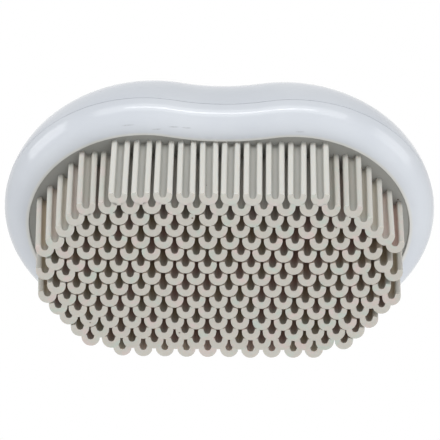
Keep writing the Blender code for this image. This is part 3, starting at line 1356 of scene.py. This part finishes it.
    def _corners(self) -> list[Flat]:
        """Work out the corners of a bristle that have to lie inside the opening.

        Returns:
            The two corners of its front, and those round its back.
        """
        half, count = self.width / 2, self.room_corners
        bend_y = self.room_depth - half
        reach = half / math.cos(QUARTER_TURN / count)
        angles = [math.pi * (step + 0.5) / count for step in range(count)]
        back = [(reach * math.cos(a), bend_y + reach * math.sin(a)) for a in angles]
        return [(half, 0.0), (-half, 0.0), *back]

    @staticmethod
    def _inside(x: float, y: float, room: list[Flat]) -> bool:
        """Say whether a point lies inside a closed outline.

        Args:
            x: The point's x.
            y: The point's y.
            room: The outline's points.

        Returns:
            True if it is inside.
        """
        inside = False
        for (x0, y0), (x1, y1) in zip(room, room[1:] + room[:1]):
            if (y0 > y) != (y1 > y) and x < x0 + (y - y0) * (x1 - x0) / (y1 - y0):
                inside = not inside
        return inside

    def _lean(self, row: int, x: float, end_x: float, draw: random.Random) -> Vector:
        """Return how far a bristle's tip stands from straight below its root.

        Args:
            row: The bristle's row, from the waist side.
            x: Its place along the row.
            end_x: The place of the row's last bristle.
            draw: The source of its small own lean.

        Returns:
            The tip's shift along X, Y and Z.
        """
        pose = self.row_poses[row]
        share = x / self.outline.end_x
        spread = self.end_lean * share * abs(share) ** self.end_lean_power
        lean = Vector((
            self.side_lean + self.far_lean * max(0.0, row - self.far_row) - spread,
            MILLIMETRE * pose.lean - self.end_drop * share**self.end_drop_power,
            MILLIMETRE * pose.rise,
        ))
        for side, pull in ((-1, pose.left), (1, pose.right)):
            steps = (end_x - side * x) / self.pitch
            lean += MILLIMETRE * self.end_pull**steps * Vector(pull)
        for parting in self.partings:
            aside = x - parting.place
            weight = math.exp(-(((row - parting.row) / parting.rows) ** 2))
            fade = math.exp(-abs(aside) / parting.reach)
            lean.x += math.copysign(parting.shift * weight * fade, aside)
        own = [draw.gauss(0, self.jitter) for _ in range(2)]
        return lean + Vector((*own, 0))

    def _master(self) -> Piece:
        """Model one bristle: its section is filled, extruded and rounded at the tip.

        Returns:
            The bristle that is copied to every place.
        """
        chain = [(x, y, 0.0) for x, y in self.section()]
        with Bench.drawing("bristle", chain) as bristle:
            Bench.fill_and_raise(self.levels.mat_face + self.root_depth)
        Bench.close_seams(bristle)
        Bench.smooth(bristle, self.sharp_deg)
        with Bench.editing(bristle, "EDGE"):
            Bench.select_edges(bristle, lambda place: place.z < self.tip_round / 2)
            bpy.ops.mesh.bevel(
                offset=self.tip_round,
                segments=self.tip_round_steps,
                harden_normals=True,
            )
        return bristle

    def _mat(self) -> Piece:
        """Model the mat: its outline is swept, filled, extruded and rounded.

        Returns:
            The mat, without the bristles.
        """
        face, thickness = self.levels.mat_face, self.levels.mat_thickness
        mat = self.outline.sweep("mat", [(-self.mat_gap, face)], thickness)
        Bench.close_seams(mat)
        with Bench.editing(mat, "EDGE"):
            Bench.select_edges(mat, lambda place: abs(place.z - face) < SEAM_MERGE)
            bpy.ops.mesh.bevel(offset=self.mat_round, segments=self.mat_round_steps)
        Bench.smooth(mat, self.mat_sharp_deg)
        return mat

    def build(self, finish: RubberFinish) -> Piece:
        """Copy the bristle to every place, and join all with the mat.

        Args:
            finish: The rubber's finish.

        Returns:
            The dressed piece.
        """
        draw = random.Random(self.seed)
        master = self._master()
        mat = self._mat()
        # The mat's tone selects its darker colour, a painted shade.
        Bench.paint(mat, Paint.TONE, [self.mat_tone] * len(mat.data.vertices))
        parts = [mat]
        places = self.places()
        ends: dict[int, float] = {}
        for row, x, _ in places:
            ends[row] = max(x, ends.get(row, x))
        for row, x, y in places:
            bristle = master.copy()
            bristle.data = master.data.copy()
            bpy.context.scene.collection.objects.link(bristle)
            lean = self._lean(row, x, ends[row], draw)
            turn = math.radians(draw.gauss(0, self.jitter_deg))
            at_end = ends[row] - abs(x) < self.pitch / 2
            rows = self.end_tones if at_end else self.row_tones
            tones = rows[min(row, len(rows) - 1)]
            if row == len(self.row_poses) - 1:
                tones = self.last_tones
            behind = sum(
                next_row == row + 1 and abs(other - x) < self.pitch
                for next_row, other, _ in places
            )
            # Outer walls with too few bristles behind them get no painted shade.
            if behind < self.crowd:
                tones = replace(tones, wall=0.0)
            self._pose(bristle, Vector((x, y, 0)), lean, turn, tones)
            own = [draw.random()] * len(bristle.data.vertices)
            Bench.paint(bristle, Paint.TONE, own)
            parts.append(bristle)
        faces = len(master.data.polygons)
        log.info("bristles: %d of %d faces each", len(parts) - 1, faces)
        bpy.data.objects.remove(master)
        pad = Bench.join("bristle_mat", parts)
        Bench.dress(pad, finish.make())
        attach(pad, BODY)
        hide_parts("bristle_pad")
        return pad

    def _pose(
        self,
        bristle: Piece,
        root: Vector,
        lean: Vector,
        turn: float,
        tones: BristleTones,
    ) -> None:
        """Move a copy of the bristle to its root, and lean its tip.

        Args:
            bristle: The copy.
            root: Its place.
            lean: The tip's shift.
            turn: Its turn about Z in radians.
            tones: How much painted shade and painted light it takes.
        """
        top = self.levels.mat_face
        half_mouth = self.mouth_width / 2 + self.channel_slack
        floor = self.channel_depth + self.channel_slack
        twist = Matrix.Rotation(turn, 3, "Z")
        hollow, shades, painted_lights = [], [], []
        for vert in bristle.data.vertices:
            x, y, z = vert.co
            share = 1 - min(z, top) / top
            inside = abs(x) <= half_mouth and y < floor
            if inside:
                y *= self.root_channel_share + (1 - self.root_channel_share) * share
            at_tip = z < self.tip_round / 2
            in_channel = inside and y > 0
            # Painted shade in the channel, kept off the tip's face.
            hollow.append(tones.grey if in_channel and not at_tip else 0.0)
            # Painted shade: the deep colour on channel and walls, kept off the tip's
            # face.
            shades.append(0.0 if at_tip else tones.hollow if in_channel else tones.wall)
            # Painted light: a paler colour, less of it on the tip's face.
            painted_lights.append(tones.pale * (self.tip_painted_light if at_tip else 1.0))
            vert.co = twist @ Vector((x, y, z)) + root + lean * share
        Bench.paint(bristle, Paint.CHANNEL_SHADE, hollow)
        Bench.paint(bristle, Paint.SHADE, shades)
        Bench.paint(bristle, Paint.PAINTED_LIGHT, painted_lights)


# Stage


@dataclass(frozen=True)
class Lamp:
    """An area lamp that faces the brush.

    Attributes:
        name: Its name.
        place: Where it stands.
        size: Its width and height.
        power: Its power in watts.
        mirrored: Whether glossy surfaces show it.
    """

    name: str
    place: Point
    size: Flat
    power: float
    mirrored: bool = True


@dataclass
class Studio:
    """White surroundings, soft lamps, and a pale floor that only shows from above."""

    floor_size: float = 6.0
    floor_colour: Colour = (0.86, 0.86, 0.86, 1)
    floor_roughness: float = 0.9
    white: Colour = (1, 1, 1, 1)
    fill: float = 0.40
    focus: Point = (0.0, 0.0, 0.03)
    lamps: tuple[Lamp, ...] = (
        Lamp("front_strip", (0.0, -1.5, 0.14), (0.86, 0.14), 2.1),
        Lamp("front_panel", (0.0, -1.5, 0.16), (2.2, 0.8), 10.9),
        Lamp("left_panel", (-1.50, -0.45, 0.25), (0.9, 1.0), 6.6),
        Lamp("right_panel", (1.50, -0.45, 0.05), (0.9, 1.0), 3.8),
        Lamp("under_panel", (0.24, 0.1, -1.6), (1.8, 1.3), 21.2, mirrored=False),
        Lamp("back_panel", (0.0, 1.3, 1.7), (1.6, 1.2), 26.0, mirrored=False),
    )

    def build(self) -> None:
        """Make the floor, the world and the lamps."""
        self._floor()
        self._world()
        for lamp in self.lamps:
            self._hang(lamp)

    def _floor(self) -> None:
        """Lay the floor, which is clear from below and shows the shadow from above."""
        Bench.clear_selection()
        bpy.ops.mesh.primitive_plane_add(size=self.floor_size)
        floor = bpy.context.object
        floor.name = "floor"
        sheet = FinishSheet("pale_floor")
        sheet.set(Base_Color=self.floor_colour, Roughness=self.floor_roughness)
        below = sheet.add("ShaderNodeNewGeometry").outputs["Backfacing"]
        clear = sheet.add("ShaderNodeBsdfTransparent", self.white).outputs[0]
        sheet.blend(below, sheet.shader.outputs[0], clear, "Material Output")
        Bench.dress(floor, sheet.material)
        floor.visible_diffuse = False
        floor.visible_glossy = False
        floor.visible_transmission = False
        floor.visible_shadow = False

    def _world(self) -> None:
        """Make the surroundings: white to the camera and in gloss, and a plain fill."""
        world = bpy.data.worlds.new("studio")
        bpy.context.scene.world = world
        sheet = NodeSheet(world)
        light = sheet.tree.nodes["Background"]
        sheet.feed(light.inputs["Color"], self.white)
        sheet.feed(light.inputs["Strength"], self.fill)
        backdrop = sheet.add("ShaderNodeBackground", self.white, 1.0)
        path = sheet.add("ShaderNodeLightPath").outputs
        seen = path["Is Camera Ray"]
        for kind in ("Is Glossy Ray", "Is Transmission Ray"):
            seen = sheet.math("MAXIMUM", seen, path[kind])
        sheet.blend(seen, light.outputs[0], backdrop.outputs[0], "World Output")

    def _hang(self, lamp: Lamp) -> None:
        """Add one lamp.

        Args:
            lamp: Its place, size and power.
        """
        Bench.clear_selection()
        bpy.ops.object.light_add(type="AREA", location=lamp.place)
        light = bpy.context.object
        light.name = lamp.name
        light.data.shape = "RECTANGLE"
        light.data.size, light.data.size_y = lamp.size
        light.data.energy = lamp.power
        light.visible_glossy = lamp.mirrored
        away = Vector(lamp.place) - Vector(self.focus)
        light.rotation_euler = away.to_track_quat("Z", "Y").to_euler()


@dataclass
class PhotoCamera:
    """Camera that looks up at the bristles from the waist side, as in the photograph.

    Attributes:
        anchor: A point on the brush.
        anchor_pixels: Where the picture shows it.
    """

    tilt_deg: float = 40.7
    roll_deg: float = -0.72
    distance: float = 1.030
    focal_pixels: float = 3400.0
    anchor: Point = (0.0, -0.003090, 0.0231)
    anchor_pixels: Flat = (219.25, 224.3)
    sensor: float = 36.0
    clip: Flat = (0.05, 20.0)

    def build(self) -> None:
        """Place the camera."""
        tilt = math.radians(self.tilt_deg)
        forward = Vector((0, math.sin(tilt), math.cos(tilt)))
        up = Vector((0, -math.cos(tilt), math.sin(tilt)))
        right = Vector((1, 0, 0))
        scale = self.distance / self.focal_pixels
        middle = FRAME_PIXELS / 2
        aside = (middle - self.anchor_pixels[0]) * scale
        above = (self.anchor_pixels[1] - middle) * scale
        anchor = Vector(self.anchor)
        place = anchor - forward * self.distance
        target = anchor + right * aside + up * above
        bpy.ops.object.camera_add(location=place)
        camera = bpy.context.object
        camera.name = "photo_camera"
        forward = (target - place).normalized()
        across = forward.cross(up).normalized()
        level = Matrix((across, across.cross(forward), -forward)).transposed()
        turn = Quaternion(forward, math.radians(self.roll_deg))
        camera.rotation_mode = "QUATERNION"
        camera.rotation_quaternion = turn @ level.to_quaternion()
        camera.data.sensor_width = self.sensor
        camera.data.lens = self.sensor * self.focal_pixels / FRAME_PIXELS
        camera.data.clip_start, camera.data.clip_end = self.clip
        camera.data.dof.use_dof = False
        bpy.context.scene.camera = camera


@dataclass
class Brush:
    """The whole upholstery brush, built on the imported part's nodes."""

    nodes: dict[str, Piece]
    outline: BeanOutline = BeanOutline()
    levels: Levels = Levels()
    bezel_finish: GlossShellFinish = GlossShellFinish(scuffs=BEZEL_SCUFFS)
    # The cover takes a darker copy of the bezel's white plastic: painted shade on the
    # dome.
    cover_finish: GlossShellFinish = GlossShellFinish(
        name="gloss_white_cover",
        colour=(0.614, 0.645, 0.690, 1),
        clouded=(0.578, 0.610, 0.660, 1),
    )

    def build(self) -> None:
        """Build and dress every piece."""
        pieces = [
            BezelShell(self.outline, self.levels).build(self.bezel_finish),
            CoverShell(self.outline, self.levels).build(self.cover_finish),
            BristlePad(self.outline, self.levels).build(RubberFinish()),
        ]
        for piece in pieces:
            log.info("%s: %d faces", piece.name, len(piece.data.polygons))
        Bench.dress(self.nodes["backing_plate"], PlateFinish().make())
        steel = ScrewFinish().make()
        for name, node in self.nodes.items():
            if name.startswith("screw_"):
                Bench.dress(node, steel)


def main() -> None:
    """Build the brush, its studio and the camera."""
    logging.basicConfig(level=logging.INFO, format="%(name)s: %(message)s")
    bpy.context.scene.view_settings.view_transform = "Standard"
    Brush(frame["nodes"]).build()
    Studio().build()
    PhotoCamera().build()


if __name__ == "__main__":
    main()
